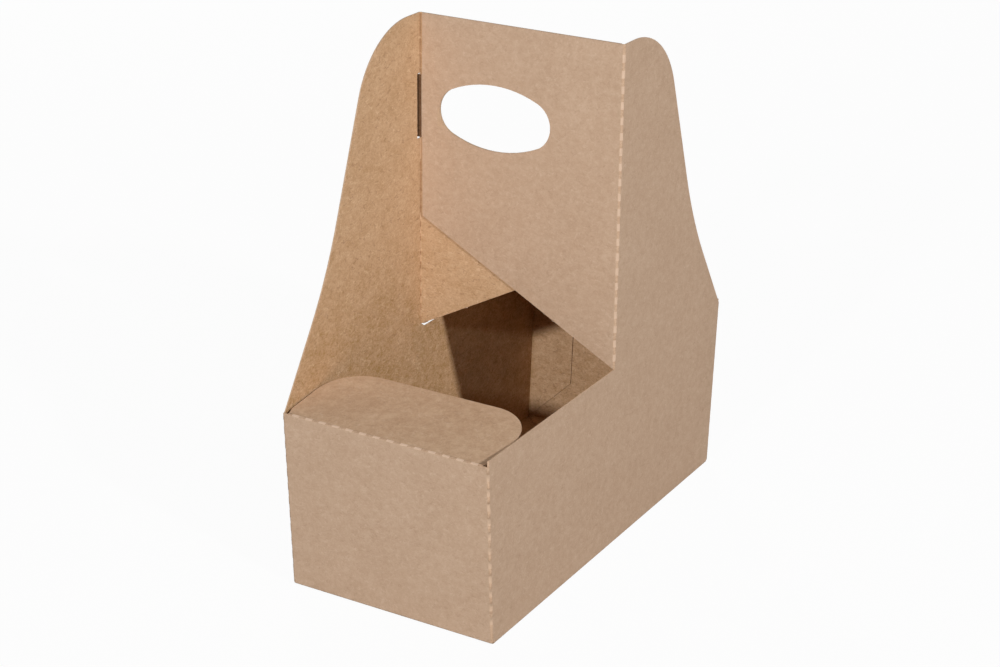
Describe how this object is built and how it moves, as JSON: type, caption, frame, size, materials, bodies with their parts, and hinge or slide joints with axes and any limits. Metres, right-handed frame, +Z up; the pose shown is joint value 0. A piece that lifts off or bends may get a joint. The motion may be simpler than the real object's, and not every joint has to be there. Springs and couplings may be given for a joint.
{
  "type": "cup carrier",
  "caption": "Folding kraft board cup carrier: an open tub with leaning ends, a double handle panel with a hand hole across the middle, and end flaps that swing on their creases.",
  "frame": {"origin": "centre of the bottom, on the surface the carrier stands on", "axes": "+X to the right across the width, +Y along the length from the front end to the rear end, +Z up"},
  "size_m": [0.096, 0.1934, 0.208],
  "materials": {
    "kraft_board": "uncoated, matt"
  },
  "bodies": {
    "carton": {"carton": "kraft_board"},
    "front_end_flap": {"front_end_flap": "kraft_board"},
    "rear_end_flap": {"rear_end_flap": "kraft_board"}
  },
  "joints": [
    {"name": "front_flap_crease", "type": "hinge", "parent": "carton", "child": "front_end_flap", "pos_m": [0, -0.09573, 0.07475], "axis": [1, 0, 0], "range_deg": [-88.5, 86.5]},
    {"name": "rear_flap_crease", "type": "hinge", "parent": "carton", "child": "rear_end_flap", "pos_m": [0, 0.09573, 0.07475], "axis": [-1, 0, 0], "range_deg": [-88.5, 86.5]}
  ]
}
